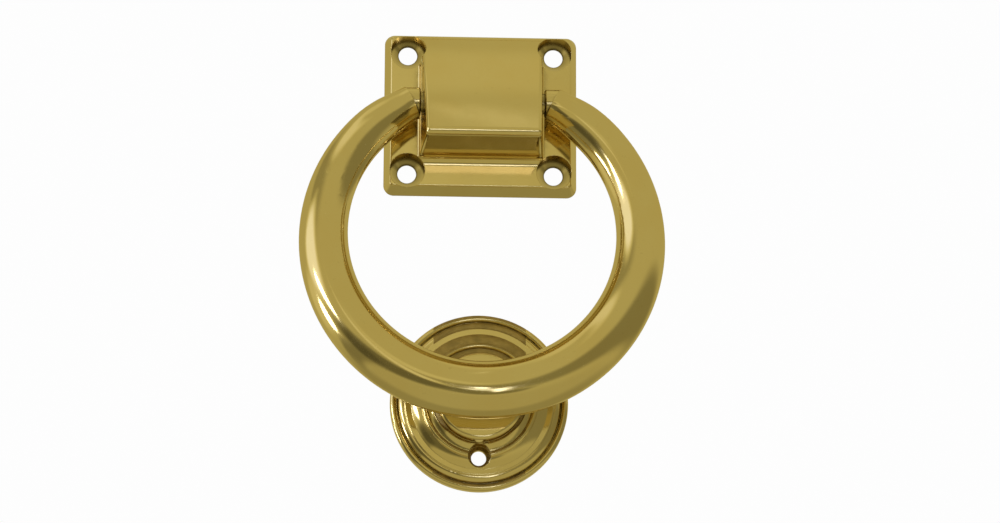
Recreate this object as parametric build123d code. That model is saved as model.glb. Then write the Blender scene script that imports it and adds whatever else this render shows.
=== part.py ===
from build123d import *
import math
import os

# Ring door knocker: a heavy ring swings from a hinge plate and strikes a round plate below it.
# Millimetres. X is to the right, Y goes into the door, Z is up. The door's surface is y = 0, and
# the origin is the centre of the hinge plate's four screw holes.

# Hinge plate
plate_width = 56.6
plate_height = 48.8
plate_thickness = 5.4
plate_corner_radius = 3.0
plate_edge_slope = 1.8
plate_edge_round = 0.6
plate_screw_edge_x = 6.8
plate_screw_edge_z = 6.4
plate_screw_hole = 5.5
plate_screw_mouth = 10.4
plate_screw_land = 0.6

# Housing, cast in one piece with the hinge plate and hollow from behind
housing_side_margin = 10.3
housing_draft = 3.7
housing_depth = 29.0
housing_lip_drop = 13.0
housing_underside_fall = 0.9
housing_foot_radius = 2.6
housing_side_foot_radius = 0.8
housing_edge_round = 1.0
housing_lip_round = 1.7
housing_wall = 2.4
cheek_thickness = 4.9

# Pivot of the ring
pivot_out = 15.0
pivot_shoulder = 6.0
pivot_bore_clearance = 0.05
pivot_thread_step = 0.5
pivot_thread_length = 6.2
pivot_head_step = 1.2
pivot_head_height = 2.6
pivot_head_round = 0.5
pivot_slot_width = 1.2
pivot_slot_depth = 1.2
washer_step = 1.5
washer_thickness = 0.8
washer_hole_clearance = 0.15
head_room = 0.1
side_play = 0.15

# Ring
ring_diameter = 105.0
ring_thick_bottom = 16.4
ring_thick_top = 11.6
ring_end_thickness = 10.2
ring_end_taper = 16.0
ring_end_gap = 0.5
neck_step = 1.2
neck_gap = 0.35
neck_edge_chamfer = 0.4
neck_root_depth = 2.1
ring_sections = 37
hole_bottom_gap = 0.6

# Strike plate and its button
strike_diameter = 51.4
strike_rim_height = 3.6
strike_bead_radius = 1.05
strike_cove_radius = 2.0
strike_step_height = 5.0
strike_step_round = 0.4
strike_sweep_width = 3.4
strike_ridge_radius = 0.8
strike_ridge_rise = 0.2
strike_flat_width = 1.5
strike_slope_rise = 1.5
strike_slope_crown = 0.2
strike_pedestal_height = 9.0
strike_cove_foot = 0.5
button_diameter = 25.2
button_cap_height = 4.8
button_edge_round = 1.1
button_seam = 0.25
button_spigot = 10.0
button_spigot_length = 2.0
spigot_clearance = 0.05
rest_gap = 0.3
strike_hole_count = 3
strike_screw_hole = 4.4
strike_screw_mouth = 6.6
strike_screw_land = 1.6

# Screw that holds the button on, put in from the back
button_screw_thread = 4.0
button_screw_head = 7.6
button_screw_bite = 0.7
button_screw_sink = 0.2
button_screw_slot_width = 1.0
button_screw_slot_depth = 0.9
button_screw_hole_clearance = 0.2

# Worked out from the sizes above
overcut = 1.0
plate_face = -plate_thickness
plate_screw_spacing_x = plate_width - 2 * plate_screw_edge_x
plate_screw_spacing_z = plate_height - 2 * plate_screw_edge_z
housing_width = plate_width - 2 * housing_side_margin
housing_top = plate_height / 2 - plate_edge_slope - plate_edge_round
cutter_reach = housing_depth + overcut
pivot_thread = pivot_shoulder - 2 * pivot_thread_step
pivot_head = pivot_shoulder + 2 * pivot_head_step
washer_diameter = pivot_shoulder + 2 * washer_step
neck_diameter = pivot_shoulder + 2 * neck_step
strike_ridge_ring = button_diameter / 2 + strike_sweep_width
button_height = strike_pedestal_height + button_cap_height
button_screw_length = strike_pedestal_height + button_screw_bite - button_screw_sink
ring_mean_radius = (ring_thick_bottom + ring_thick_top) / 4
ring_radius_swing = (ring_thick_bottom - ring_thick_top) / 4
ring_line_radius = ring_diameter / 2 - ring_mean_radius
ring_end_radius = ring_end_thickness / 2


def cheek_face(out):
    """Half-width of the housing at a distance out from the door."""
    return housing_width / 2 - (out - plate_thickness) * math.tan(math.radians(housing_draft))


# The end faces of the ring stand square to its curve, so their inner corners come nearest to the
# cheeks. They keep ring_end_gap there all the way round the swing.
corner_x = cheek_face(pivot_out - ring_end_radius) + ring_end_gap
ring_end_x = corner_x / (1 - ring_end_radius / ring_line_radius)
ring_end_angle = math.degrees(math.asin(ring_end_x / ring_line_radius))
ring_end_up = math.sqrt(ring_line_radius ** 2 - ring_end_x ** 2)
neck_face = cheek_face(pivot_out - neck_diameter / 2) + neck_gap
neck_rise = ring_end_radius * math.cos(math.radians(ring_end_angle)) - neck_diameter / 2
pivot_above_ring_centre = ring_end_up + neck_rise

# The ring leans out until the back of its thickest part rests on the button.
ring_reach = pivot_above_ring_centre + ring_line_radius
ring_back_out = button_height + rest_gap + ring_thick_bottom / 2
ring_lean = math.degrees(math.asin((ring_back_out - pivot_out) / ring_reach))
strike_drop = ring_reach * math.cos(math.radians(ring_lean))

# The housing's front is one arc from the plate to the lip, seen from the side (Y, Z).
face_top_corner = Vector(plate_face, housing_top)
lip_corner = Vector(-housing_depth, -housing_lip_drop)
face_middle = (face_top_corner + lip_corner) * 0.5
face_along = (lip_corner - face_top_corner).normalized()
face_outward = Vector(face_along.Y, -face_along.X)


def front_bulge():
    """How far the arc rises over its chord, to pass the pivot with room for washers and wall."""
    half_chord = (lip_corner - face_top_corner).length / 2
    reach = washer_diameter / 2 + head_room + housing_wall
    pivot = Vector(-pivot_out, 0) - face_middle
    along = pivot.dot(face_along)
    behind = -pivot.dot(face_outward)
    total = half_chord ** 2 - along ** 2 - behind ** 2 + reach ** 2
    product = 4 * half_chord ** 2 * (reach ** 2 - behind ** 2)
    return (total - math.sqrt(total ** 2 - product)) / (2 * (reach + behind))


cavity_half_width = cheek_face(pivot_out) - cheek_thickness
pivot_axis = Axis((0, -pivot_out, 0), (1, 0, 0))


def along_x(radius, start, end):
    """A round bar on the pivot axis, from x = start to x = end."""
    plane = Plane(origin=(start, -pivot_out, 0), x_dir=(0, 1, 0), z_dir=(1, 0, 0))
    return extrude(plane * Circle(radius), amount=end - start)


def towards_door(radius, out_from, out_to, x=0.0, z=0.0, end_radius=None):
    """A round bar or a cone square to the door, from out_from to out_to in front of it."""
    low = min(out_from, out_to)
    height = abs(out_to - out_from)
    base = radius if out_from < out_to else (end_radius or radius)
    top = (end_radius or radius) if out_from < out_to else radius
    plane = Plane(origin=(x, -low, z), x_dir=(1, 0, 0), z_dir=(0, -1, 0))
    if abs(base - top) < 1e-9:
        return plane * Cylinder(base, height, align=(Align.CENTER, Align.CENTER, Align.MIN))
    return plane * Cone(base, top, height, align=(Align.CENTER, Align.CENTER, Align.MIN))


def countersunk_hole(hole, mouth, land, mouth_out, x, z):
    """The space a countersunk screw needs: its hole, its cone and the way in for its head."""
    shank = towards_door(hole / 2, -overcut, cutter_reach, x, z)
    cone = towards_door(hole / 2, land, mouth_out, x, z, end_radius=mouth / 2)
    way_in = towards_door(mouth / 2, mouth_out, cutter_reach, x, z)
    return shank + cone + way_in


def plate_blank():
    """The flat of the hinge plate, with sloping edges and a softened front edge."""
    back = Plane.XZ * RectangleRounded(plate_width, plate_height, plate_corner_radius)
    slope = math.degrees(math.atan(plate_edge_slope / plate_thickness))
    blank = extrude(back, amount=plate_thickness, taper=slope)
    front = blank.faces().sort_by(Axis.Y)[0]
    return fillet(front.edges(), plate_edge_round)


def housing_side_outline(back):
    """The housing seen from the side, closed at y = back."""
    bulge = face_middle + face_outward * front_bulge()
    root = Vector(plate_face, -housing_lip_drop - housing_underside_fall)
    foot_start = root + (lip_corner - root).normalized() * housing_foot_radius
    foot_end = root + Vector(0, -housing_foot_radius)
    lines = [
        Line((back, housing_top), face_top_corner),
        ThreePointArc(face_top_corner, bulge, lip_corner),
        Line(lip_corner, foot_start),
        TangentArc(foot_start, foot_end, tangent=root - lip_corner),
        Line(foot_end, (back, foot_end.Y)),
        Line((back, foot_end.Y), (back, housing_top)),
    ]
    return Plane.YZ * make_face(Curve() + lines)


def housing_plan_outline():
    """The housing seen from above: drafted sides with a small foot at the plate."""
    foot = housing_side_foot_radius
    side = housing_width / 2
    front_out = housing_depth + overcut
    front = cheek_face(front_out)
    right = [
        Line((side + foot, 0), (side + foot, plate_face)),
        TangentArc((side + foot, plate_face), (side, plate_face - foot), tangent=(-1, 0)),
        Line((side, plate_face - foot), (front, -front_out)),
    ]
    left = [line.mirror(Plane.YZ) for line in right]
    ends = [
        Line((-side - foot, 0), (side + foot, 0)),
        Line((-front, -front_out), (front, -front_out)),
    ]
    return make_face(Curve() + right + left + ends)


def housing_outside():
    """The sloping hood of the housing, with its lip and its two long front edges rounded."""
    side = extrude(housing_side_outline(0), amount=plate_width / 2, both=True)
    plan = extrude(housing_plan_outline(), amount=plate_height, both=True)
    hood = side & plan
    lip = hood.edges().filter_by(lambda edge: edge.center().Y < overcut - housing_depth)
    hood = fillet(lip, housing_lip_round)
    long_edges = hood.edges().filter_by(lambda edge: edge.length > housing_depth)
    front_corners = long_edges.filter_by(
        lambda edge: abs(edge.center().X) > cavity_half_width and edge.center().Y < plate_face)
    return fillet(front_corners, housing_edge_round)


def housing_cavity():
    """The hollow behind the hood, open towards the door."""
    outline = offset(housing_side_outline(housing_wall), -housing_wall)
    return extrude(outline, amount=cavity_half_width, both=True)


def make_hinge_plate():
    """The plate and hood casting, with its screw holes and the bores for the ring's pivots."""
    casting = plate_blank() + housing_outside()
    casting -= housing_cavity()
    bore = pivot_shoulder / 2 + pivot_bore_clearance
    casting -= along_x(bore, -plate_width / 2, plate_width / 2)
    for side in (-1, 1):
        for level in (-1, 1):
            casting -= countersunk_hole(
                plate_screw_hole, plate_screw_mouth, plate_screw_land, plate_thickness,
                side * plate_screw_spacing_x / 2, level * plate_screw_spacing_z / 2)
    return casting


def ring_radius_at(angle):
    """Half the ring's thickness at an angle from its lowest point."""
    plain = ring_mean_radius + ring_radius_swing * math.cos(math.radians(angle))
    into_taper = (abs(angle) - (180 - ring_end_angle - ring_end_taper)) / ring_end_taper
    share = min(max(into_taper, 0.0), 1.0)
    ease = share * share * (3 - 2 * share)
    return plain + (ring_end_radius - plain) * ease


def ring_section(angle):
    """The round section of the ring at an angle from its lowest point."""
    turn = math.radians(angle)
    centre_z = -pivot_above_ring_centre
    at = (
        ring_line_radius * math.sin(turn),
        -pivot_out,
        centre_z - ring_line_radius * math.cos(turn),
    )
    along = (math.cos(turn), 0, math.sin(turn))
    return Plane(origin=at, x_dir=(0, 1, 0), z_dir=along) * Circle(ring_radius_at(angle))


def make_knocker_ring():
    """The open ring with a short neck at each end, tapped for the pivot screws."""
    span = 180 - ring_end_angle
    step = 2 * span / (ring_sections - 1)
    ring = loft([ring_section(-span + step * i) for i in range(ring_sections)])
    for side in (-1, 1):
        neck = along_x(neck_diameter / 2, neck_face, ring_end_x + neck_root_depth)
        neck = chamfer(neck.edges().sort_by(Axis.X)[0], neck_edge_chamfer)
        thread_end = neck_face + pivot_thread_length + hole_bottom_gap
        thread = along_x(pivot_thread / 2, neck_face - overcut, thread_end)
        if side < 0:
            neck = neck.mirror(Plane.YZ)
            thread = thread.mirror(Plane.YZ)
        ring = ring + neck - thread
    return ring.rotate(pivot_axis, -ring_lean)


def make_pivot_screw():
    """The right-hand shoulder screw: slotted head inside the housing, thread in the ring."""
    washer_in = cavity_half_width - side_play - washer_thickness
    head_start = washer_in - pivot_head_height
    head = along_x(pivot_head / 2, head_start, washer_in)
    head = fillet(head.edges().sort_by(Axis.X)[0], pivot_head_round)
    shoulder = along_x(pivot_shoulder / 2, washer_in, neck_face)
    thread = along_x(pivot_thread / 2, neck_face, neck_face + pivot_thread_length)
    slot = Pos(head_start + pivot_slot_depth / 2, -pivot_out, 0) * Box(
        pivot_slot_depth, pivot_head + overcut, pivot_slot_width)
    return head + shoulder + thread - slot


def make_pivot_washer():
    """The right-hand washer between the screw's head and the cheek."""
    start = cavity_half_width - side_play - washer_thickness
    disc = along_x(washer_diameter / 2, start, start + washer_thickness)
    hole = pivot_shoulder / 2 + washer_hole_clearance
    return disc - along_x(hole, start - overcut, start + washer_thickness + overcut)


def strike_outline():
    """Half of the strike plate's section: x is the radius and y the height off the door."""
    rim = strike_diameter / 2
    bead = strike_bead_radius
    bead_level = strike_rim_height - bead
    cove_out = rim - 2 * bead
    cove_in = cove_out - strike_cove_radius
    cove_top = bead_level + strike_cove_radius
    cove_mid = strike_cove_radius * (1 - math.sqrt(0.5))
    ridge_foot = strike_ridge_ring + strike_ridge_radius
    slope_foot = cove_in - strike_step_round - strike_flat_width
    slope_top = strike_step_height + strike_slope_rise
    slope_width = slope_foot - ridge_foot
    slope_length = math.hypot(slope_width, strike_slope_rise)
    slope_crest = (
        ridge_foot + slope_width / 2 + strike_slope_crown * strike_slope_rise / slope_length,
        slope_top - strike_slope_rise / 2 + strike_slope_crown * slope_width / slope_length,
    )
    ridge_top = slope_top + strike_ridge_rise
    pedestal = button_diameter / 2
    sweep_out = strike_ridge_ring - strike_ridge_radius
    lines = [
        Line((0, 0), (rim, 0)),
        Line((rim, 0), (rim, bead_level)),
        ThreePointArc((rim, bead_level), (rim - bead, strike_rim_height), (cove_out, bead_level)),
        ThreePointArc((cove_out, bead_level), (cove_out - cove_mid, cove_top - cove_mid),
                      (cove_in, cove_top)),
        Line((cove_in, cove_top), (cove_in, strike_step_height - strike_step_round)),
        ThreePointArc((cove_in, strike_step_height - strike_step_round),
                      (cove_in - strike_step_round * (1 - math.sqrt(0.5)),
                       strike_step_height - strike_step_round * (1 - math.sqrt(0.5))),
                      (cove_in - strike_step_round, strike_step_height)),
        Line((cove_in - strike_step_round, strike_step_height), (slope_foot, strike_step_height)),
        ThreePointArc((slope_foot, strike_step_height), slope_crest, (ridge_foot, slope_top)),
        Line((ridge_foot, slope_top), (ridge_foot, ridge_top)),
        ThreePointArc((ridge_foot, ridge_top), (strike_ridge_ring, ridge_top + strike_ridge_radius),
                      (sweep_out, ridge_top)),
        ThreePointArc((sweep_out, ridge_top),
                      (pedestal + strike_cove_foot, (ridge_top + strike_pedestal_height) / 2),
                      (pedestal, strike_pedestal_height)),
        Line((pedestal, strike_pedestal_height), (0, strike_pedestal_height)),
        Line((0, strike_pedestal_height), (0, 0)),
    ]
    return make_face(Curve() + lines)


def turned(outline):
    """A turned piece about the strike plate's axis, from a section of radius and height."""
    place = Plane(origin=(0, 0, -strike_drop), x_dir=(1, 0, 0), z_dir=(0, 0, 1))
    section = place * outline.mirror(Plane.XZ)
    return revolve(section, Axis((0, 0, -strike_drop), (0, 1, 0)))


def make_strike_plate():
    """The round moulded plate under the ring, with its screw holes and the button's seat."""
    plate = turned(strike_outline())
    cone_height = (strike_screw_mouth - strike_screw_hole) / 2
    for i in range(strike_hole_count):
        turn = math.radians(270 + i * 360 / strike_hole_count)
        x = strike_ridge_ring * math.cos(turn)
        z = strike_ridge_ring * math.sin(turn) - strike_drop
        plate -= countersunk_hole(
            strike_screw_hole, strike_screw_mouth, strike_screw_land,
            strike_screw_land + cone_height, x, z)
    seat = strike_pedestal_height - button_spigot_length - hole_bottom_gap
    plate -= towards_door(button_spigot / 2 + spigot_clearance, seat, cutter_reach, z=-strike_drop)
    shank = button_screw_thread / 2 + button_screw_hole_clearance
    plate -= towards_door(shank, -overcut, cutter_reach, z=-strike_drop)
    sink = button_screw_head / 2 + button_screw_sink
    plate -= towards_door(sink, -overcut, 0.0, z=-strike_drop)
    plate -= towards_door(sink, 0.0, sink - shank, z=-strike_drop, end_radius=shank)
    return plate


def make_strike_button():
    """The button that the ring strikes, with a spigot in the plate and a tapped hole."""
    radius = button_diameter / 2
    spigot = towards_door(
        button_spigot / 2, strike_pedestal_height - button_spigot_length,
        strike_pedestal_height, z=-strike_drop)
    seam = towards_door(
        radius - button_seam, strike_pedestal_height, strike_pedestal_height + button_seam,
        z=-strike_drop)
    cap = towards_door(
        radius, strike_pedestal_height + button_seam, button_height, z=-strike_drop)
    cap = fillet(cap.edges().sort_by(Axis.Y)[0], button_edge_round)
    hole_end = button_screw_sink + button_screw_length + hole_bottom_gap
    tapped = towards_door(button_screw_thread / 2, 0.0, hole_end, z=-strike_drop)
    return spigot + seam + cap - tapped


def make_button_screw():
    """The countersunk screw behind the button, its head just below the plate's back."""
    radius = button_screw_thread / 2
    head_radius = button_screw_head / 2
    tip = button_screw_sink + button_screw_length
    head_end = button_screw_sink + head_radius - radius
    head = towards_door(
        head_radius, button_screw_sink, head_end, z=-strike_drop, end_radius=radius)
    shank = towards_door(radius, head_end, tip, z=-strike_drop)
    slot_out = button_screw_sink + button_screw_slot_depth / 2
    slot = Pos(0, -slot_out, -strike_drop) * Box(
        button_screw_head + overcut, button_screw_slot_depth, button_screw_slot_width)
    return head + shank - slot


def save(name, shape):
    """Write one piece to its own file."""
    export_step(shape, f"parts/{name}.step")


os.makedirs("parts", exist_ok=True)
right_screw = make_pivot_screw()
right_washer = make_pivot_washer()
save("hinge_plate", make_hinge_plate())
save("knocker_ring", make_knocker_ring())
save("pivot_screw_right", right_screw)
save("pivot_screw_left", right_screw.mirror(Plane.YZ))
save("pivot_washer_right", right_washer)
save("pivot_washer_left", right_washer.mirror(Plane.YZ))
save("strike_plate", make_strike_plate())
save("strike_button", make_strike_button())
save("button_screw", make_button_screw())
print(f"ring leans {ring_lean:.3f} degrees, strike plate {strike_drop:.3f} mm below the origin")
print(f"ring centre {pivot_above_ring_centre:.3f} mm below the pivot, neck face at x {neck_face:.3f}")
print(f"housing bulges {front_bulge():.3f} mm")
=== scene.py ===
import math

import bpy
from mathutils import Matrix, Vector


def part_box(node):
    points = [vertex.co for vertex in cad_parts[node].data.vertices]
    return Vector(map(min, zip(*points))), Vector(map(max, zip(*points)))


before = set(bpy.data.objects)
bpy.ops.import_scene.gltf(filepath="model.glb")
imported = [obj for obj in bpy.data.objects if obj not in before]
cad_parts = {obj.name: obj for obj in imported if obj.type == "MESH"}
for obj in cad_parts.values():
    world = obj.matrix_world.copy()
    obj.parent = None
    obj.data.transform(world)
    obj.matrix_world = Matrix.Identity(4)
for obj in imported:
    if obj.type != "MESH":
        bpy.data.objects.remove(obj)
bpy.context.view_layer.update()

bl_info = {
    "name": "Ring Door Knocker",
    "version": (1, 0, 0),
    "blender": (4, 5, 0),
    "location": "3D View > Sidebar > Knocker",
    "description": "Finishes a cast brass ring door knocker and sets it in a plain studio",
    "category": "Object",
}

MM = 0.001

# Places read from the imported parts
plate_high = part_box("hinge_plate")[1]
screw_low, screw_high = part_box("pivot_screw_right")
button_low, button_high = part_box("strike_button")
ring_low, ring_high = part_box("knocker_ring")
PIVOT_AXIS = (screw_low + screw_high) / 2
STRIKE_CENTRE = (button_low + button_high) / 2

# From the inner end of a pivot screw to just past the hollow's side wall
HEAD_TO_WALL = 4.4 * MM
HOLLOW_HALF_WIDTH = screw_low.x + HEAD_TO_WALL

# Half the ring's thickness where it is widest, and the radius of the line down its middle
RING_BAR_RADIUS = 7.0 * MM
RING_LINE_RADIUS = (ring_high.x - ring_low.x) / 2 - RING_BAR_RADIUS

# The plate's screws: how far in from its sides and from its top they are, and their seats
SCREW_IN_X = 6.8 * MM
SCREW_IN_Z = 6.4 * MM
SCREW_SPOT = Vector((plate_high.x - SCREW_IN_X, 0.0, plate_high.z - SCREW_IN_Z))
SCREW_HOLE_RADIUS = 2.75 * MM
SCREW_MOUTH_RADIUS = 5.2 * MM


# Settings

class KnockerBrassSettings(bpy.types.PropertyGroup):
    """The polished brass of the plates, the ring and the button."""
    colour: bpy.props.FloatVectorProperty(
        name="Brass", description="Colour of clean polished brass",
        default=(0.80, 0.68, 0.38), size=3, min=0.0, max=1.0, subtype="COLOR")
    warm_colour: bpy.props.FloatVectorProperty(
        name="Warm brass", description="Colour of the redder patches",
        default=(0.79, 0.655, 0.345), size=3, min=0.0, max=1.0, subtype="COLOR")
    # The tarnish colour also serves as painted shade, laid into corners and screw seats by the masks
    # below.
    tarnish_and_shade_colour: bpy.props.FloatVectorProperty(
        name="Tarnish", description="Colour of old polish and tarnish left in the corners",
        default=(0.16, 0.125, 0.06), size=3, min=0.0, max=1.0, subtype="COLOR")
    # This reach sets how far the painted corner shade, with the tarnish, comes out of a corner.
    tarnish_and_shade_reach: bpy.props.FloatProperty(
        name="Tarnish reach", description="How far the tarnish comes out of a corner",
        default=4.0 * MM, min=0.0, unit="LENGTH")
    edge_round: bpy.props.FloatProperty(
        name="Edge round", description="How far polishing has rounded the sharp edges",
        default=0.3 * MM, min=0.0, unit="LENGTH")
    wave_size: bpy.props.FloatProperty(
        name="Wave size", description="Length of the slow waves left by hand polishing",
        default=11.0 * MM, min=1.0 * MM, unit="LENGTH")
    wave_depth: bpy.props.FloatProperty(
        name="Wave depth", description="Depth of those waves",
        default=0.035 * MM, min=0.0, unit="LENGTH")
    line_size: bpy.props.FloatProperty(
        name="Line width", description="Width of the fine polishing lines",
        default=0.35 * MM, min=0.01 * MM, unit="LENGTH")
    line_depth: bpy.props.FloatProperty(
        name="Line depth", description="Depth of the fine polishing lines",
        default=0.0012 * MM, min=0.0, unit="LENGTH")
    roughness: bpy.props.FloatProperty(
        name="Roughness", description="Roughness of clean polished brass",
        default=0.09, min=0.0, max=1.0, subtype="FACTOR")
    dull_roughness: bpy.props.FloatProperty(
        name="Dull roughness", description="Roughness where the polish is smeared or tarnished",
        default=0.3, min=0.0, max=1.0, subtype="FACTOR")
    cast_colour: bpy.props.FloatVectorProperty(
        name="Cast skin", description="Colour of the unpolished casting behind the plate",
        default=(0.40, 0.31, 0.15), size=3, min=0.0, max=1.0, subtype="COLOR")
    cast_grain: bpy.props.FloatProperty(
        name="Sand grain", description="Size of the casting sand's grain",
        default=0.7 * MM, min=0.05 * MM, unit="LENGTH")
    cast_depth: bpy.props.FloatProperty(
        name="Sand depth", description="Depth of the marks the sand leaves",
        default=0.12 * MM, min=0.0, unit="LENGTH")


class KnockerSteelSettings(bpy.types.PropertyGroup):
    """The zinc-plated steel of the button's screw, and the lathe work of all the screws."""
    colour: bpy.props.FloatVectorProperty(
        name="Steel", description="Colour of the plated steel",
        default=(0.56, 0.55, 0.50), size=3, min=0.0, max=1.0, subtype="COLOR")
    # The stain colour also serves as painted shade in the screws' corners.
    stain_and_shade_colour: bpy.props.FloatVectorProperty(
        name="Stain", description="Colour of the brown film on the steel",
        default=(0.30, 0.25, 0.17), size=3, min=0.0, max=1.0, subtype="COLOR")
    turning_pitch: bpy.props.FloatProperty(
        name="Turning pitch", description="Distance between the lathe tool's marks",
        default=0.22 * MM, min=0.02 * MM, unit="LENGTH")
    turning_depth: bpy.props.FloatProperty(
        name="Turning depth", description="Depth of the lathe tool's marks",
        default=0.006 * MM, min=0.0, unit="LENGTH")
    roughness: bpy.props.FloatProperty(
        name="Roughness", description="Roughness of the plated steel",
        default=0.28, min=0.0, max=1.0, subtype="FACTOR")


class KnockerStageSettings(bpy.types.PropertyGroup):
    """The room, the lights and the camera."""
    floor_drop: bpy.props.FloatProperty(
        name="Floor drop", description="How far the floor is below the hinge plate",
        default=1.7, min=0.5, unit="LENGTH")
    floor_colour: bpy.props.FloatVectorProperty(
        name="Floor", description="Colour of the floor", default=(0.86, 0.86, 0.85), size=3,
        min=0.0, max=1.0, subtype="COLOR")
    backdrop_light: bpy.props.FloatProperty(
        name="Backdrop", description="Brightness of the white behind the knocker",
        default=0.985, min=0.0)
    room_light: bpy.props.FloatProperty(
        name="Room", description="Brightness of the tent that the brass reflects",
        default=0.5, min=0.0)
    room_colour: bpy.props.FloatVectorProperty(
        name="Room colour", description="Warm colour of the tent's reflected light",
        default=(1.0, 0.882, 0.385), size=3, min=0.0, max=1.0, subtype="COLOR")
    window_light: bpy.props.FloatProperty(
        name="Windows", description="Brightness of the two soft lamps",
        default=5.0, min=0.0)
    window_distance: bpy.props.FloatProperty(
        name="Lamp distance", description="From the knocker to the two soft lamps",
        default=1.6, min=0.3, unit="LENGTH")
    camera_aim: bpy.props.FloatVectorProperty(
        name="Camera aim", description="The point in the door's plane that the camera looks at",
        default=(0.005989, 0.0, -0.043653), size=3, subtype="XYZ", unit="LENGTH")
    camera_distance: bpy.props.FloatProperty(
        name="Camera distance", description="From the camera to the aim",
        default=1.0034, min=0.2, unit="LENGTH")
    camera_side: bpy.props.FloatProperty(
        name="Camera side angle", description="How far the camera stands to the left",
        default=math.radians(2.785), subtype="ANGLE")
    camera_below: bpy.props.FloatProperty(
        name="Camera low angle", description="How far the camera looks up at the knocker",
        default=math.radians(13.02), subtype="ANGLE")
    camera_roll: bpy.props.FloatProperty(
        name="Camera roll", description="Turn of the camera about its own line of sight",
        default=math.radians(0.23), subtype="ANGLE")
    camera_lens: bpy.props.FloatProperty(
        name="Camera lens", description="Focal length for a sensor 36 mm wide",
        default=123.83, min=20.0)


# Node building

def fill(tree, socket, value):
    """Gives a socket its link or its plain value."""
    if isinstance(value, bpy.types.NodeSocket):
        tree.links.new(value, socket)
    else:
        socket.default_value = value


def node(tree, kind, inputs=None, **settings):
    """A new node with its settings and with values or links for its inputs."""
    made = tree.nodes.new(kind)
    for name, value in settings.items():
        setattr(made, name, value)
    for name, value in (inputs or {}).items():
        fill(tree, made.inputs[name], value)
    return made


def maths(tree, operation, first, second=0.0, third=0.0, clamp=False):
    """One step of arithmetic."""
    made = node(tree, "ShaderNodeMath", {0: first, 1: second, 2: third}, operation=operation,
                use_clamp=clamp)
    return made.outputs["Value"]


def spread(tree, value, low, high, smooth=True):
    """A value stretched so that low becomes 0 and high becomes 1."""
    steps = "SMOOTHSTEP" if smooth else "LINEAR"
    made = node(tree, "ShaderNodeMapRange", {"Value": value, "From Min": low, "From Max": high},
                interpolation_type=steps)
    return made.outputs["Result"]


def blend(tree, amount, first, second):
    """A value part of the way from first to second."""
    made = node(tree, "ShaderNodeMix", {0: amount, 2: first, 3: second}, data_type="FLOAT")
    return made.outputs[0]


def blend_colour(tree, amount, first, second):
    """A colour part of the way from first to second."""
    made = node(tree, "ShaderNodeMix", {0: amount, 6: first, 7: second}, data_type="RGBA")
    return made.outputs[2]


def new_group(name, inputs, outputs):
    """An empty node group with its sockets, its input node and its output node."""
    tree = bpy.data.node_groups.new(name, "ShaderNodeTree")
    for label, kind, default in inputs:
        socket = tree.interface.new_socket(label, in_out="INPUT", socket_type=kind)
        if default is not None:
            socket.default_value = default
    for label, kind in outputs:
        tree.interface.new_socket(label, in_out="OUTPUT", socket_type=kind)
    return tree, tree.nodes.new("NodeGroupInput").outputs, tree.nodes.new("NodeGroupOutput").inputs


def place_group(tree, name, **inputs):
    """One of the shared groups, placed with its own values."""
    made = node(tree, "ShaderNodeGroup", node_tree=bpy.data.node_groups[name])
    for label, value in inputs.items():
        fill(tree, made.inputs[label.replace("_", " ")], value)
    return made.outputs


FLOAT, COLOUR, VECTOR = "NodeSocketFloat", "NodeSocketColor", "NodeSocketVector"


def rgba(colour):
    """A colour setting with its alpha."""
    return (*colour, 1.0)


# Shared effects

def build_polish_group():
    """Slow waves, fine crossing lines and smears, as a buffing wheel leaves them."""
    tree, given, out = new_group(
        "Hand Polish",
        [("Place", VECTOR, None), ("Wave Size", FLOAT, 0.01), ("Wave Depth", FLOAT, 0.00003),
         ("Line Size", FLOAT, 0.0003), ("Line Depth", FLOAT, 0.000001)],
        [("Height", FLOAT), ("Smear", FLOAT)])
    wave_scale = maths(tree, "DIVIDE", 1.0, given["Wave Size"])
    line_scale = maths(tree, "DIVIDE", 1.0, given["Line Size"])
    waves = node(tree, "ShaderNodeTexNoise", {
        "Vector": given["Place"], "Scale": wave_scale, "Detail": 1.0, "Roughness": 0.35})
    height = maths(tree, "MULTIPLY", waves.outputs["Fac"], given["Wave Depth"])
    for turn, stretch in ((0.35, (1.0, 0.04, 0.05)), (1.15, (0.05, 0.06, 1.0))):
        turned = node(tree, "ShaderNodeVectorRotate", {
            "Vector": given["Place"], "Axis": (0.2, 1.0, 0.1), "Angle": turn})
        drawn = node(tree, "ShaderNodeVectorMath", {0: turned.outputs[0], 1: stretch},
                     operation="MULTIPLY")
        lines = node(tree, "ShaderNodeTexNoise", {
            "Vector": drawn.outputs[0], "Scale": line_scale, "Detail": 3.0, "Roughness": 0.6})
        deep = maths(tree, "MULTIPLY", lines.outputs["Fac"], given["Line Depth"])
        height = maths(tree, "ADD", height, deep)
    smear_scale = maths(tree, "MULTIPLY", wave_scale, 0.6)
    smears = node(tree, "ShaderNodeTexNoise", {
        "Vector": given["Place"], "Scale": smear_scale, "Detail": 4.0, "Roughness": 0.62,
        "Distortion": 1.2})
    tree.links.new(height, out["Height"])
    tree.links.new(spread(tree, smears.outputs["Fac"], 0.48, 0.78), out["Smear"])


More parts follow.
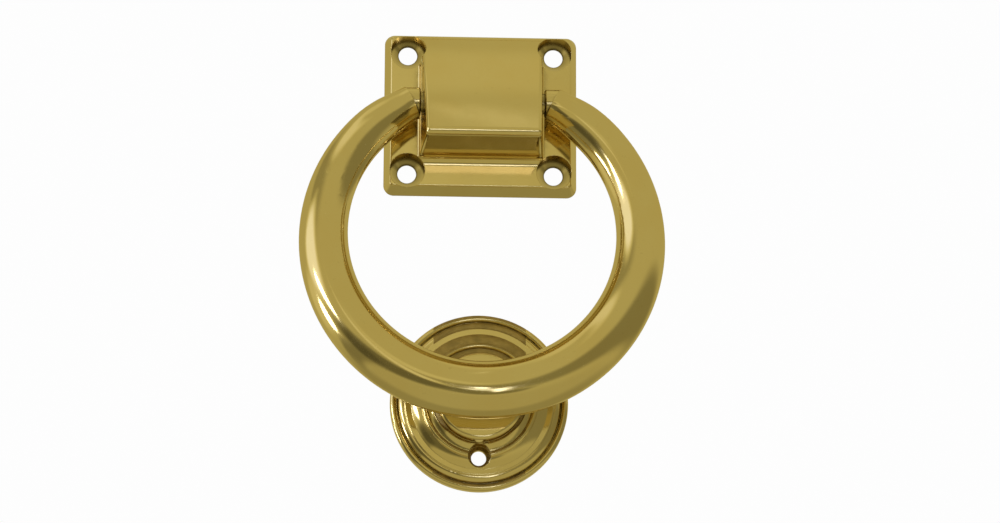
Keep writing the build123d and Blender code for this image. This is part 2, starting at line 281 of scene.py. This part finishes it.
def build_tone_group():
    """Brass that is a little redder in patches, and brown where tarnish is left and where the Recess
    mask paints shade into corners.
    """
    tree, given, out = new_group(
        "Brass Tone",
        [("Place", VECTOR, None), ("Clean", COLOUR, None), ("Warm", COLOUR, None),
         ("Tarnish", COLOUR, None), ("Recess", FLOAT, 0.0)],
        [("Color", COLOUR)])
    patches = node(tree, "ShaderNodeTexNoise", {
        "Vector": given["Place"], "Scale": 55.0, "Detail": 5.0, "Roughness": 0.6})
    amount = spread(tree, patches.outputs["Fac"], 0.35, 0.7)
    tone = blend_colour(tree, amount, given["Clean"], given["Warm"])
    specks = node(tree, "ShaderNodeTexNoise", {
        "Vector": given["Place"], "Scale": 900.0, "Detail": 2.0, "Roughness": 0.5})
    speck = spread(tree, specks.outputs["Fac"], 0.66, 0.76)
    # Tarnish specks, plus the Recess mask, which paints shade into corners as well as tarnish.
    browned_and_shaded = maths(tree, "MULTIPLY_ADD", speck, 0.08, given["Recess"], clamp=True)
    tone = blend_colour(tree, browned_and_shaded, tone, given["Tarnish"])
    tree.links.new(tone, out["Color"])


def build_corner_residue_and_shade_group():
    """How far into a corner or a hole a point lies, broken up by old polish: a mask of tarnish and
    of painted shade.
    """
    tree, given, out = new_group(
        "Corner Residue And Shade", [("Place", VECTOR, None), ("Reach", FLOAT, 0.003)], [("Mask", FLOAT)])
    open_sky = node(tree, "ShaderNodeAmbientOcclusion", {"Distance": given["Reach"]}, samples=8)
    closed = spread(tree, open_sky.outputs["AO"], 0.86, 0.28)
    grime = node(tree, "ShaderNodeTexNoise", {
        "Vector": given["Place"], "Scale": 420.0, "Detail": 4.0, "Roughness": 0.65})
    broken = spread(tree, grime.outputs["Fac"], 0.2, 0.65)
    tree.links.new(maths(tree, "MULTIPLY", closed, broken, clamp=True), out["Mask"])


def build_seat_residue_and_shade_group():
    """How deep in a screw's countersunk seat a point lies, for four seats about the middle: a mask
    of painted shade in the seats, with some tarnish.
    """
    tree, given, out = new_group(
        "Screw Seat Residue And Shade",
        [("Place", VECTOR, None), ("Spot", VECTOR, None), ("Mouth", FLOAT, 0.005),
         ("Hole", FLOAT, 0.003)],
        [("Mask", FLOAT)])
    folded = node(tree, "ShaderNodeVectorMath", {0: given["Place"]}, operation="ABSOLUTE")
    offset = node(tree, "ShaderNodeVectorMath", {0: folded.outputs[0], 1: given["Spot"]},
                  operation="SUBTRACT")
    flat = node(tree, "ShaderNodeVectorMath", {0: offset.outputs[0], 1: (1.0, 0.0, 1.0)},
                operation="MULTIPLY")
    radius = node(tree, "ShaderNodeVectorMath", {0: flat.outputs[0]}, operation="LENGTH")
    depth = spread(tree, radius.outputs["Value"], given["Mouth"], given["Hole"], smooth=False)
    grime = node(tree, "ShaderNodeTexNoise", {
        "Vector": given["Place"], "Scale": 260.0, "Detail": 3.0, "Roughness": 0.6})
    wall = spread(tree, depth, 0.82, 1.0)
    deeper = maths(tree, "MULTIPLY_ADD", depth, 0.6, maths(tree, "MULTIPLY", wall, 0.5))
    mottled = maths(tree, "MULTIPLY_ADD", grime.outputs["Fac"], 0.5, 0.75)
    tree.links.new(maths(tree, "MULTIPLY", deeper, mottled, clamp=True), out["Mask"])


def build_edge_group():
    """Normals that run round the sharp edges, and a mask of those edges."""
    tree, given, out = new_group(
        "Rounded Edge", [("Radius", FLOAT, 0.0003)], [("Normal", VECTOR), ("Mask", FLOAT)])
    rounded = node(tree, "ShaderNodeBevel", {"Radius": given["Radius"]}, samples=6)
    face = node(tree, "ShaderNodeNewGeometry")
    same = node(tree, "ShaderNodeVectorMath", {0: rounded.outputs[0], 1: face.outputs["Normal"]},
                operation="DOT_PRODUCT")
    tree.links.new(rounded.outputs[0], out["Normal"])
    tree.links.new(spread(tree, same.outputs["Value"], 0.995, 0.8), out["Mask"])


def build_turned_group():
    """Rings left by a lathe about a line through a centre; Across is 1 on the axes across it."""
    tree, given, out = new_group(
        "Lathe Rings",
        [("Place", VECTOR, None), ("Centre", VECTOR, None), ("Across", VECTOR, None),
         ("Pitch", FLOAT, 0.0002)],
        [("Height", FLOAT), ("Radius", FLOAT)])
    offset = node(tree, "ShaderNodeVectorMath", {0: given["Place"], 1: given["Centre"]},
                  operation="SUBTRACT")
    flat = node(tree, "ShaderNodeVectorMath", {0: offset.outputs[0], 1: given["Across"]},
                operation="MULTIPLY")
    radius = node(tree, "ShaderNodeVectorMath", {0: flat.outputs[0]}, operation="LENGTH")
    turns = maths(tree, "DIVIDE", radius.outputs["Value"], given["Pitch"])
    rings = node(tree, "ShaderNodeTexNoise", {"W": turns, "Scale": 1.0, "Detail": 2.0},
                 noise_dimensions="1D")
    tree.links.new(rings.outputs["Fac"], out["Height"])
    tree.links.new(radius.outputs["Value"], out["Radius"])


def build_cast_group():
    """Where the casting was never polished: its back and its hollow, with the sand's grain."""
    tree, given, out = new_group(
        "Cast Skin",
        [("Place", VECTOR, None), ("Facing", VECTOR, None), ("Hollow", FLOAT, 0.012),
         ("Grain", FLOAT, 0.0007)],
        [("Mask", FLOAT), ("Height", FLOAT), ("Shade", FLOAT)])
    place = node(tree, "ShaderNodeSeparateXYZ", {0: given["Place"]}).outputs
    facing = node(tree, "ShaderNodeSeparateXYZ", {0: given["Facing"]}).outputs
    behind = spread(tree, facing["Y"], 0.02, 0.08)
    off_middle = maths(tree, "ABSOLUTE", place["X"])
    within = maths(tree, "LESS_THAN", off_middle, given["Hollow"])
    side_wall = spread(tree, maths(tree, "ABSOLUTE", facing["X"]), 0.55, 0.75)
    inward = maths(tree, "MULTIPLY", place["Z"], facing["Z"])
    floor_or_roof = maths(tree, "LESS_THAN", inward, -0.004)
    inside = maths(tree, "MULTIPLY", within, maths(tree, "MAXIMUM", side_wall, floor_or_roof))
    fine_scale = maths(tree, "DIVIDE", 1.0, given["Grain"])
    coarse_scale = maths(tree, "MULTIPLY", fine_scale, 0.22)
    fine = node(tree, "ShaderNodeTexNoise", {
        "Vector": given["Place"], "Scale": fine_scale, "Detail": 4.0, "Roughness": 0.65})
    coarse = node(tree, "ShaderNodeTexNoise", {
        "Vector": given["Place"], "Scale": coarse_scale, "Detail": 3.0, "Roughness": 0.55})
    height = maths(tree, "MULTIPLY_ADD", coarse.outputs["Fac"], 1.6, fine.outputs["Fac"])
    tree.links.new(maths(tree, "MAXIMUM", behind, inside, clamp=True), out["Mask"])
    tree.links.new(height, out["Height"])
    tree.links.new(spread(tree, coarse.outputs["Fac"], 0.3, 0.7), out["Shade"])


def build_groups():
    """Every shared effect, built once."""
    if "Hand Polish" in bpy.data.node_groups:
        return
    build_polish_group()
    build_tone_group()
    build_corner_residue_and_shade_group()
    build_seat_residue_and_shade_group()
    build_edge_group()
    build_turned_group()
    build_cast_group()


# Finishes

# How much a smear dulls the polish, and the brass's tint where it is seen at a slant
SMEAR_DULLNESS = 0.35
SLANT_TINT = (0.95, 0.9, 0.75, 1.0)

# The lathe's marks on the strike plate and the button
BRASS_TURNING_PITCH = 0.5 * MM
BRASS_TURNING_DEPTH = 0.0016 * MM

# The dents where the ring strikes. The mark's half height and half width each come as where it
# ends and where it has its full strength.
DENT_SCALE = 1400.0
DENT_DEPTH = 0.02 * MM
MARK_HALF_HEIGHT = (2.2 * MM, 0.4 * MM)
MARK_HALF_WIDTH = (9.5 * MM, 2.0 * MM)

# The unpolished casting: how much paler its patches are, and its roughness
CAST_PALER = 1.35
CAST_ROUGHNESS = 0.52

# The screws and washers: the round of their edges, how far the brown film and the painted corner
# shade come out of a corner, how fine its stains are and how much rougher it makes the metal
TURNED_EDGE_ROUND = 0.15 * MM
FILM_AND_SHADE_REACH = 1.5 * MM
FILM_SCALE = 380.0
FILM_ROUGHER = 1.7


def new_material(name):
    """An empty material with its Principled shader and its own coordinates."""
    material = bpy.data.materials.new(name)
    material.use_nodes = True
    tree = material.node_tree
    tree.nodes.clear()
    shader = node(tree, "ShaderNodeBsdfPrincipled")
    node(tree, "ShaderNodeOutputMaterial", {"Surface": shader.outputs["BSDF"]})
    coordinates = node(tree, "ShaderNodeTexCoord").outputs
    return material, tree, shader, coordinates


def finish_metal(tree, shader, colour, roughness, height, normal):
    """Joins a metal's colour, roughness, height and rounded edges to its shader."""
    bump = node(tree, "ShaderNodeBump", {
        "Strength": 1.0, "Distance": 1.0, "Height": height, "Normal": normal})
    tree.links.new(colour, shader.inputs["Base Color"])
    tree.links.new(roughness, shader.inputs["Roughness"])
    tree.links.new(bump.outputs["Normal"], shader.inputs["Normal"])
    shader.inputs["Metallic"].default_value = 1.0


def brass_material(name, settings, seed, turned=False, cast=False, strike=False, seats=False):
    """Polished brass: waves and lines, smears, tarnish and painted shade in the corners, and rounded
    edges.
    """
    build_groups()
    material, tree, shader, coordinates = new_material(name)
    place = node(tree, "ShaderNodeVectorMath", {0: coordinates["Object"], 1: seed}, operation="ADD")
    place = place.outputs[0]
    polish = place_group(
        tree, "Hand Polish", Place=place, Wave_Size=settings.wave_size,
        Wave_Depth=settings.wave_depth, Line_Size=settings.line_size,
        Line_Depth=settings.line_depth)
    # Ambient occlusion in the corners: painted shade there, as well as tarnish.
    corner_residue_and_shade = place_group(tree, "Corner Residue And Shade", Place=place, Reach=settings.tarnish_and_shade_reach)
    edge = place_group(tree, "Rounded Edge", Radius=settings.edge_round)
    kept_clean = maths(tree, "SUBTRACT", 1.0, edge["Mask"], clamp=True)
    tarnish_and_shade = maths(tree, "MULTIPLY", corner_residue_and_shade["Mask"], kept_clean)
    # The screw seats' mask paints shade into the countersinks, with some tarnish.
    if seats:
        seat_residue_and_shade = place_group(
            tree, "Screw Seat Residue And Shade", Place=coordinates["Object"], Spot=SCREW_SPOT,
            Mouth=SCREW_MOUTH_RADIUS, Hole=SCREW_HOLE_RADIUS)
        tarnish_and_shade = maths(tree, "MAXIMUM", tarnish_and_shade, seat_residue_and_shade["Mask"])
    tone = place_group(
        tree, "Brass Tone", Place=place, Clean=rgba(settings.colour),
        Warm=rgba(settings.warm_colour), Tarnish=rgba(settings.tarnish_and_shade_colour), Recess=tarnish_and_shade)
    colour = tone["Color"]
    smeared = maths(tree, "MULTIPLY", polish["Smear"], SMEAR_DULLNESS)
    dull = maths(tree, "MAXIMUM", smeared, tarnish_and_shade)
    roughness = blend(tree, dull, settings.roughness, settings.dull_roughness)
    height = polish["Height"]
    if turned:
        rings = place_group(
            tree, "Lathe Rings", Place=coordinates["Object"], Centre=STRIKE_CENTRE,
            Across=(1.0, 0.0, 1.0), Pitch=BRASS_TURNING_PITCH)
        height = maths(tree, "MULTIPLY_ADD", rings["Height"], BRASS_TURNING_DEPTH, height)
    if strike:
        mark = strike_mark(tree, coordinates["Object"])
        dents = node(tree, "ShaderNodeTexNoise", {
            "Vector": place, "Scale": DENT_SCALE, "Detail": 3.0, "Roughness": 0.6})
        dented = maths(tree, "MULTIPLY", mark, dents.outputs["Fac"])
        height = maths(tree, "MULTIPLY_ADD", dented, -DENT_DEPTH, height)
        roughness = blend(tree, mark, roughness, settings.dull_roughness)
    if cast:
        skin = place_group(
            tree, "Cast Skin", Place=coordinates["Object"], Facing=coordinates["Normal"],
            Hollow=HOLLOW_HALF_WIDTH, Grain=settings.cast_grain)
        pale = rgba([value * CAST_PALER for value in settings.cast_colour])
        skin_colour = blend_colour(tree, skin["Shade"], rgba(settings.cast_colour), pale)
        colour = blend_colour(tree, skin["Mask"], colour, skin_colour)
        roughness = blend(tree, skin["Mask"], roughness, CAST_ROUGHNESS)
        grain = maths(tree, "MULTIPLY", skin["Height"], settings.cast_depth)
        height = blend(tree, skin["Mask"], height, grain)
    finish_metal(tree, shader, colour, roughness, height, edge["Normal"])
    shader.inputs["Specular Tint"].default_value = SLANT_TINT
    return material


def strike_mark(tree, place):
    """The short curved mark where the ring's back meets the button, as a mask."""
    ring_centre = STRIKE_CENTRE + Vector((0.0, 0.0, RING_LINE_RADIUS))
    rings = place_group(
        tree, "Lathe Rings", Place=place, Centre=ring_centre, Across=(1.0, 0.0, 1.0), Pitch=1.0)
    off = maths(tree, "ABSOLUTE", maths(tree, "SUBTRACT", rings["Radius"], RING_LINE_RADIUS))
    aside = maths(tree, "ABSOLUTE", node(tree, "ShaderNodeSeparateXYZ", {0: place}).outputs["X"])
    band = spread(tree, off, *MARK_HALF_HEIGHT)
    return maths(tree, "MULTIPLY", band, spread(tree, aside, *MARK_HALF_WIDTH))


def turned_material(name, settings, clean, stained_and_shaded, centre, across):
    """A turned screw or washer with the lathe's rings and a thin brown film, which also paints shade
    into its corners.
    """
    build_groups()
    material, tree, shader, coordinates = new_material(name)
    place = coordinates["Object"]
    rings = place_group(
        tree, "Lathe Rings", Place=place, Centre=centre, Across=across,
        Pitch=settings.turning_pitch)
    edge = place_group(tree, "Rounded Edge", Radius=TURNED_EDGE_ROUND)
    # Ambient occlusion in the corners: the brown film there is painted shade as well as film.
    corner_residue_and_shade = place_group(tree, "Corner Residue And Shade", Place=place, Reach=FILM_AND_SHADE_REACH)
    stains = node(tree, "ShaderNodeTexNoise", {
        "Vector": place, "Scale": FILM_SCALE, "Detail": 5.0, "Roughness": 0.6})
    stain_and_shade = maths(tree, "MAXIMUM", spread(tree, stains.outputs["Fac"], 0.5, 0.75), corner_residue_and_shade["Mask"])
    colour = blend_colour(tree, stain_and_shade, rgba(clean), rgba(stained_and_shaded))
    roughness = blend(tree, stain_and_shade, settings.roughness, min(settings.roughness * FILM_ROUGHER, 1.0))
    height = maths(tree, "MULTIPLY", rings["Height"], settings.turning_depth)
    finish_metal(tree, shader, colour, roughness, height, edge["Normal"])
    return material


def dress(node_name, material):
    """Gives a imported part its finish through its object's own slots."""
    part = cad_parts.get(node_name)
    if part is None:
        raise RuntimeError(f"the packed knocker has no part named {node_name}")
    for slot in part.material_slots:
        slot.link = "OBJECT"
        slot.material = material
    return part


# Studio

def build_panel_group():
    """A soft-edged patch of light or shade, placed by its direction from the knocker."""
    tree, given, out = new_group(
        "Studio Panel",
        [("Azimuth", FLOAT, 0.0), ("Elevation", FLOAT, 0.0), ("Turned To", FLOAT, 0.0),
         ("Raised To", FLOAT, 0.0), ("Half Size", VECTOR, None), ("Tilt", FLOAT, 0.0),
         ("Softness", FLOAT, 0.5), ("Strength", FLOAT, 1.0), ("Behind", FLOAT, 0.5),
         ("Light", FLOAT, 0.5)],
        [("Light", FLOAT)])
    across = maths(tree, "SUBTRACT", given["Azimuth"], given["Turned To"])
    across = maths(tree, "WRAP", across, 180.0, -180.0)
    up = maths(tree, "SUBTRACT", given["Elevation"], given["Raised To"])
    off = node(tree, "ShaderNodeCombineXYZ", {"X": across, "Y": up})
    turned = node(tree, "ShaderNodeVectorRotate", {
        "Vector": off.outputs[0], "Angle": maths(tree, "MULTIPLY", given["Tilt"], -1.0)},
        rotation_type="Z_AXIS")
    share = node(tree, "ShaderNodeVectorMath", {0: turned.outputs[0], 1: given["Half Size"]},
                 operation="DIVIDE")
    radius = node(tree, "ShaderNodeVectorMath", {0: share.outputs[0]}, operation="LENGTH")
    half = maths(tree, "MULTIPLY", given["Softness"], 0.5)
    outer = maths(tree, "ADD", 1.0, half)
    inner = maths(tree, "SUBTRACT", 1.0, half)
    mask = spread(tree, radius.outputs["Value"], outer, inner)
    amount = maths(tree, "MULTIPLY", mask, given["Strength"])
    tree.links.new(blend(tree, amount, given["Behind"], given["Light"]), out["Light"])


# Name, turned to the right and raised in degrees as seen from the knocker, half width and half
# height in degrees, tilt, softness of the edge, brightness and strength.
STUDIO_PANELS = (
    ("floor_bounce", 0, -75, 400, 45, 0, 0.5, 0.44, 1.0),
    ("right_shade", 62, -6, 75, 17, -4, 0.6, 0.25, 1.0),
    ("front_shade", -32, -17, 36, 13, 4, 0.6, 0.15, 1.0),
    ("left_low_shade", -85, -31, 45, 7, 6, 0.7, 0.20, 0.9),
    ("left_high_shade", -78, 38, 46, 9, -10, 0.8, 0.30, 0.9),
    ("high_band", -62, 53, 42, 6, -14, 0.8, 0.80, 0.9),
    ("roof_glow", -70, 68, 35, 9, 0, 0.9, 0.68, 0.8),
    ("window_glow", -68, 14, 26, 17, 8, 0.7, 1.02, 1.0),
    ("left_glow", -100, -8, 26, 12, 0, 0.7, 0.72, 0.8),
    ("dark_flag", -46, -20, 15, 8, 18, 0.6, 0.10, 1.0),
    ("front_streak", -12, 4, 4, 14, 28, 0.8, 0.75, 0.9),
    ("low_shade", 4, -23, 14, 6, 0, 0.6, 0.21, 1.0),
    ("zenith_glow", 0, 88, 400, 12, 0, 1.0, 0.57, 1.0),
    ("front_glow", -4, 13, 7, 6, 0, 1.0, 0.62, 1.0),
    ("door_shade", 180, -48, 75, 32, 0, 0.6, 0.33, 1.0),
    ("front_patch", 2.5, -9.5, 4.5, 3.2, 0, 0.6, 1.12, 1.0),
    ("front_strip", 6.5, -12, 1.5, 7, 0, 0.6, 2.4, 1.0),
    ("lip_glint", 2.1, -3, 1.2, 3, 0, 0.6, 3.0, 1.0),
    ("hood_smear", 5.4, 63, 1.0, 7, 8, 0.9, 0.78, 0.8),
)

# The two soft lamps: name, turned to, raised, half width and half height in degrees, tilt.
WINDOWS = (
    ("window_low", -84, -14, 9.0, 7.0, 10),
    ("window_high", -57, 1, 12.0, 4.2, 24),
)


def direction(azimuth, elevation):
    """The direction from the knocker: azimuth to the right of straight out from the door."""
    turn, rise = math.radians(azimuth), math.radians(elevation)
    level = math.cos(rise)
    return Vector((math.sin(turn) * level, -math.cos(turn) * level, math.sin(rise)))


def stage_world(settings):
    """A white backdrop, and round it the pale tent that polished metal reflects."""
    build_panel_group()
    world = bpy.data.worlds.new("knocker_studio")
    bpy.context.scene.world = world
    world.use_nodes = True
    world.cycles.sampling_method = "NONE"
    tree = world.node_tree
    tree.nodes.clear()
    sight = node(tree, "ShaderNodeTexCoord").outputs["Generated"]
    part = node(tree, "ShaderNodeSeparateXYZ", {0: sight}).outputs
    out_from_door = maths(tree, "MULTIPLY", part["Y"], -1.0)
    azimuth = maths(tree, "DEGREES", maths(tree, "ARCTAN2", part["X"], out_from_door))
    elevation = maths(tree, "DEGREES", maths(tree, "ARCSINE", part["Z"]))
    light = settings.room_light
    for label, turned_to, raised, half_width, half_height, tilt, soft, value, share in STUDIO_PANELS:
        panel = place_group(
            tree, "Studio Panel", Azimuth=azimuth, Elevation=elevation, Turned_To=turned_to,
            Raised_To=raised, Half_Size=(half_width, half_height, 1.0), Tilt=math.radians(tilt),
            Softness=soft, Strength=share, Behind=light, Light=value)
        light = panel["Light"]
        light.node.label = label
    whiter = spread(tree, light, 0.5, 1.3)
    tint = blend_colour(tree, whiter, rgba(settings.room_colour), (1.0, 1.0, 1.0, 1.0))
    room = node(tree, "ShaderNodeBackground", {"Color": tint, "Strength": light})
    white = node(tree, "ShaderNodeBackground", {
        "Color": (1.0, 1.0, 1.0, 1.0), "Strength": settings.backdrop_light})
    glossy = node(tree, "ShaderNodeLightPath").outputs["Is Glossy Ray"]
    both = node(tree, "ShaderNodeMixShader", {0: glossy, 1: white.outputs[0], 2: room.outputs[0]})
    node(tree, "ShaderNodeOutputWorld", {"Surface": both.outputs[0]})


def stage_lamps(settings):
    """Two soft oval lamps on the left, which make the bright streaks on the ring."""
    for name, turned_to, raised, half_width, half_height, tilt in WINDOWS:
        away = direction(turned_to, raised)
        lamp = bpy.data.lights.new(name, "AREA")
        lamp.shape = "ELLIPSE"
        lamp.size = 2 * settings.window_distance * math.tan(math.radians(half_width))
        lamp.size_y = 2 * settings.window_distance * math.tan(math.radians(half_height))
        # An oval lamp is this bright when its watts are pi times brightness times its area.
        lamp.energy = settings.window_light * math.pi * math.pi * lamp.size * lamp.size_y / 4
        holder = bpy.data.objects.new(name, lamp)
        turn = away.to_track_quat("Z", "Y").to_matrix().to_4x4()
        roll = Matrix.Rotation(math.radians(-tilt), 4, "Z")
        middle = Vector((0.0, 0.0, STRIKE_CENTRE.z / 2))
        place = Matrix.Translation(middle + away * settings.window_distance)
        holder.matrix_world = place @ turn @ roll
        holder.visible_camera = False
        bpy.context.scene.collection.objects.link(holder)


def stage_floor(settings):
    """A wide pale floor, as far below the knocker as under a usual door."""
    radius, rings, spokes = 30.0, 12, 48
    verts = [(0.0, 0.0, -settings.floor_drop)]
    faces = []
    for ring in range(1, rings + 1):
        out = radius * (ring / rings) ** 2
        for spoke in range(spokes):
            turn = 2 * math.pi * spoke / spokes
            verts.append((out * math.cos(turn), out * math.sin(turn), -settings.floor_drop))
    for spoke in range(spokes):
        beside = (spoke + 1) % spokes
        faces.append((0, 1 + spoke, 1 + beside))
        for ring in range(rings - 1):
            low, high = 1 + ring * spokes, 1 + (ring + 1) * spokes
            faces.append((low + spoke, high + spoke, high + beside, low + beside))
    mesh = bpy.data.meshes.new("studio_floor")
    mesh.from_pydata(verts, [], faces)
    mesh.materials.append(floor_material(settings))
    floor = bpy.data.objects.new("studio_floor", mesh)
    floor.visible_glossy = False
    bpy.context.scene.collection.objects.link(floor)


def floor_material(settings):
    """Pale matt boards of light with a faint cloudiness."""
    material, tree, shader, coordinates = new_material("studio_floor")
    clouds = node(tree, "ShaderNodeTexNoise", {
        "Vector": coordinates["Object"], "Scale": 1.3, "Detail": 4.0})
    darker = rgba([value * 0.96 for value in settings.floor_colour])
    colour = blend_colour(tree, clouds.outputs["Fac"], rgba(settings.floor_colour), darker)
    tree.links.new(colour, shader.inputs["Base Color"])
    shader.inputs["Roughness"].default_value = 0.85
    return material


def stage_camera(settings):
    """A long lens a little to the left of the knocker and below it, looking up."""
    side, below, roll = settings.camera_side, settings.camera_below, settings.camera_roll
    sight = -direction(-math.degrees(side), -math.degrees(below))
    level = Vector((math.cos(side), -math.sin(side), 0.0))
    upright = level.cross(sight)
    right = level * math.cos(roll) + upright * math.sin(roll)
    turn = Matrix((right, right.cross(sight), -sight)).transposed().to_4x4()
    data = bpy.data.cameras.new("knocker_camera")
    data.lens = settings.camera_lens
    data.sensor_width = 36.0
    camera = bpy.data.objects.new("knocker_camera", data)
    place = Vector(settings.camera_aim) - sight * settings.camera_distance
    camera.matrix_world = Matrix.Translation(place) @ turn
    bpy.context.scene.collection.objects.link(camera)
    bpy.context.scene.camera = camera


# Operators

class KNOCKER_OT_hinge_plate(bpy.types.Operator):
    """Finish the hinge plate and its hollow housing"""
    bl_idname = "knocker.hinge_plate"
    bl_label = "Hinge plate"

    def execute(self, context):
        brass = brass_material(
            "plate_brass", context.scene.knocker_brass, (0.0, 0.0, 0.0), cast=True, seats=True)
        dress("hinge_plate", brass)
        return {"FINISHED"}


class KNOCKER_OT_ring(bpy.types.Operator):
    """Finish the ring"""
    bl_idname = "knocker.ring"
    bl_label = "Ring"

    def execute(self, context):
        brass = brass_material(
            "ring_brass", context.scene.knocker_brass, (0.31, 0.12, 0.05))
        dress("knocker_ring", brass)
        return {"FINISHED"}


class KNOCKER_OT_pivots(bpy.types.Operator):
    """Finish the two pivot screws and their washers"""
    bl_idname = "knocker.pivots"
    bl_label = "Pivot screws"

    def execute(self, context):
        brass = context.scene.knocker_brass
        turned_brass = turned_material(
            "pivot_brass", context.scene.knocker_steel, brass.colour, brass.tarnish_and_shade_colour,
            PIVOT_AXIS, (0.0, 1.0, 1.0))
        for side in ("left", "right"):
            dress(f"pivot_screw_{side}", turned_brass)
            dress(f"pivot_washer_{side}", turned_brass)
        return {"FINISHED"}


class KNOCKER_OT_strike_plate(bpy.types.Operator):
    """Finish the round moulded plate that the ring strikes"""
    bl_idname = "knocker.strike_plate"
    bl_label = "Strike plate"

    def execute(self, context):
        brass = brass_material(
            "strike_plate_brass", context.scene.knocker_brass, (0.77, 0.4, 0.9), turned=True,
            cast=True)
        dress("strike_plate", brass)
        return {"FINISHED"}


class KNOCKER_OT_strike_button(bpy.types.Operator):
    """Finish the button and the screw behind it"""
    bl_idname = "knocker.strike_button"
    bl_label = "Strike button"

    def execute(self, context):
        brass = brass_material(
            "button_brass", context.scene.knocker_brass, (0.5, 0.8, 0.2), turned=True, strike=True)
        dress("strike_button", brass)
        steel = context.scene.knocker_steel
        turned_steel = turned_material(
            "button_screw_steel", steel, steel.colour, steel.stain_and_shade_colour, STRIKE_CENTRE,
            (1.0, 0.0, 1.0))
        dress("button_screw", turned_steel)
        return {"FINISHED"}


class KNOCKER_OT_stage(bpy.types.Operator):
    """Set the floor, the studio light and the camera"""
    bl_idname = "knocker.stage"
    bl_label = "Studio"

    def execute(self, context):
        settings = context.scene.knocker_stage
        stage_world(settings)
        stage_lamps(settings)
        stage_floor(settings)
        stage_camera(settings)
        context.scene.view_settings.view_transform = "Standard"
        return {"FINISHED"}


class KNOCKER_PT_sidebar(bpy.types.Panel):
    """The knocker's steps and sizes"""
    bl_idname = "KNOCKER_PT_sidebar"
    bl_label = "Ring door knocker"
    bl_space_type = "VIEW_3D"
    bl_region_type = "UI"
    bl_category = "Knocker"

    def draw(self, context):
        for operator in OPERATORS:
            self.layout.operator(operator.bl_idname)
        for settings in (context.scene.knocker_brass, context.scene.knocker_steel,
                         context.scene.knocker_stage):
            box = self.layout.box()
            for name in settings.bl_rna.properties.keys():
                if name not in ("rna_type", "name"):
                    box.prop(settings, name)


OPERATORS = (
    KNOCKER_OT_hinge_plate,
    KNOCKER_OT_ring,
    KNOCKER_OT_pivots,
    KNOCKER_OT_strike_plate,
    KNOCKER_OT_strike_button,
    KNOCKER_OT_stage,
)
SETTINGS = (
    ("knocker_brass", KnockerBrassSettings),
    ("knocker_steel", KnockerSteelSettings),
    ("knocker_stage", KnockerStageSettings),
)


def register():
    """Adds the settings, the operators and the panel."""
    for name, settings in SETTINGS:
        bpy.utils.register_class(settings)
        setattr(bpy.types.Scene, name, bpy.props.PointerProperty(type=settings))
    for operator in OPERATORS:
        bpy.utils.register_class(operator)
    bpy.utils.register_class(KNOCKER_PT_sidebar)


def unregister():
    """Takes them all away again."""
    bpy.utils.unregister_class(KNOCKER_PT_sidebar)
    for operator in reversed(OPERATORS):
        bpy.utils.unregister_class(operator)
    for name, settings in reversed(SETTINGS):
        delattr(bpy.types.Scene, name)
        bpy.utils.unregister_class(settings)


def write_sizes():
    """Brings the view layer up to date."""
    bpy.context.view_layer.update()


def main():
    """Makes every piece in order, then the studio."""
    register()
    bpy.ops.knocker.hinge_plate()
    bpy.ops.knocker.ring()
    bpy.ops.knocker.pivots()
    bpy.ops.knocker.strike_plate()
    bpy.ops.knocker.strike_button()
    bpy.ops.knocker.stage()
    write_sizes()


if __name__ == "__main__":
    main()
